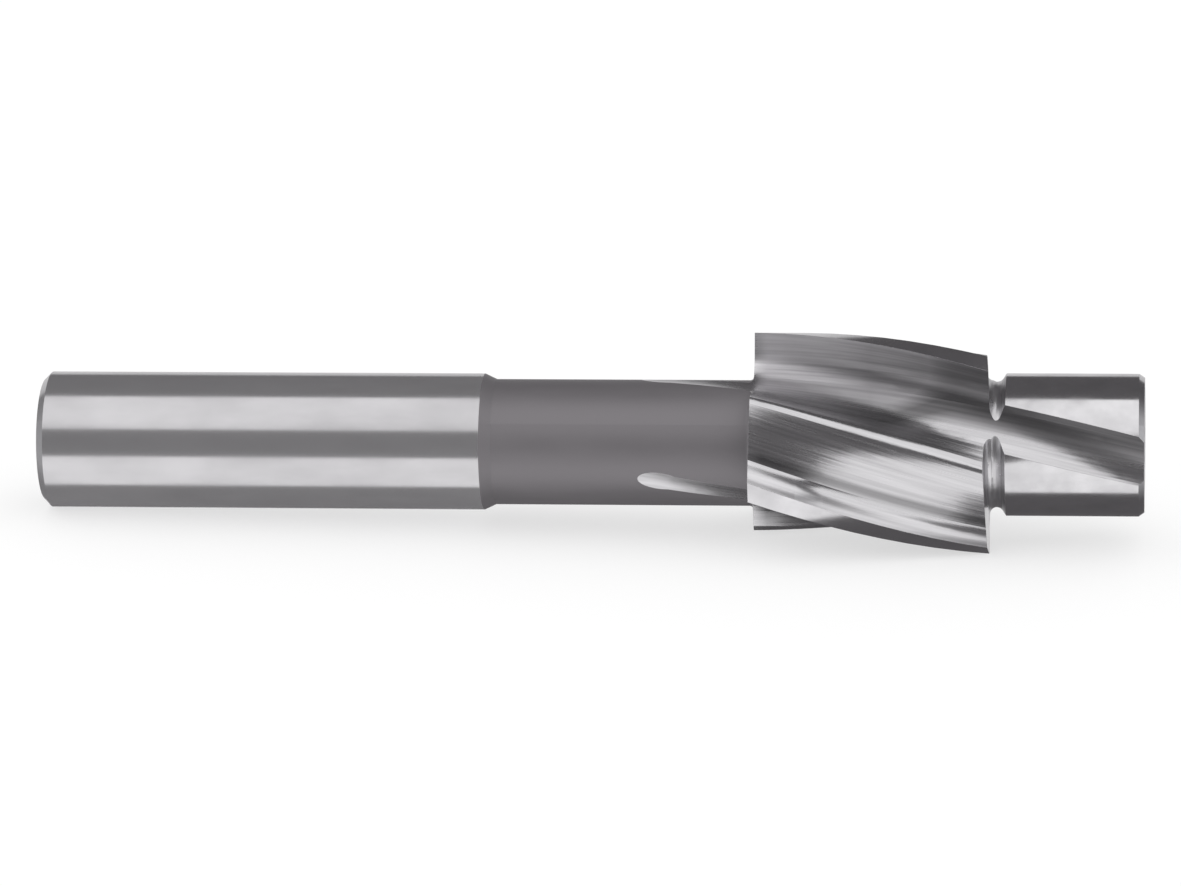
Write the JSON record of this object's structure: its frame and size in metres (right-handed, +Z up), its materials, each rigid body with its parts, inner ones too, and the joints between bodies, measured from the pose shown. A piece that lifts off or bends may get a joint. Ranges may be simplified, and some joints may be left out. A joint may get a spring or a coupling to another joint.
{
  "type": "counterbore cutter",
  "caption": "Solid counterbore cutter with a plain round shank, a turned neck, a head with right-hand helical teeth and a fixed guide pilot, lying on its side.",
  "frame": {"origin": "middle of the bounding box on the surface that the tool lies on", "axes": "+Z up, +X along the tool from the shank end to the pilot; the axis rises 1.8 degrees towards the pilot because the head is thicker than the shank"},
  "size_m": [0.101, 0.02, 0.0187],
  "materials": {
    "hss": "ground"
  },
  "bodies": {
    "root": {"counterbore_cutter": "hss"}
  },
  "joints": []
}
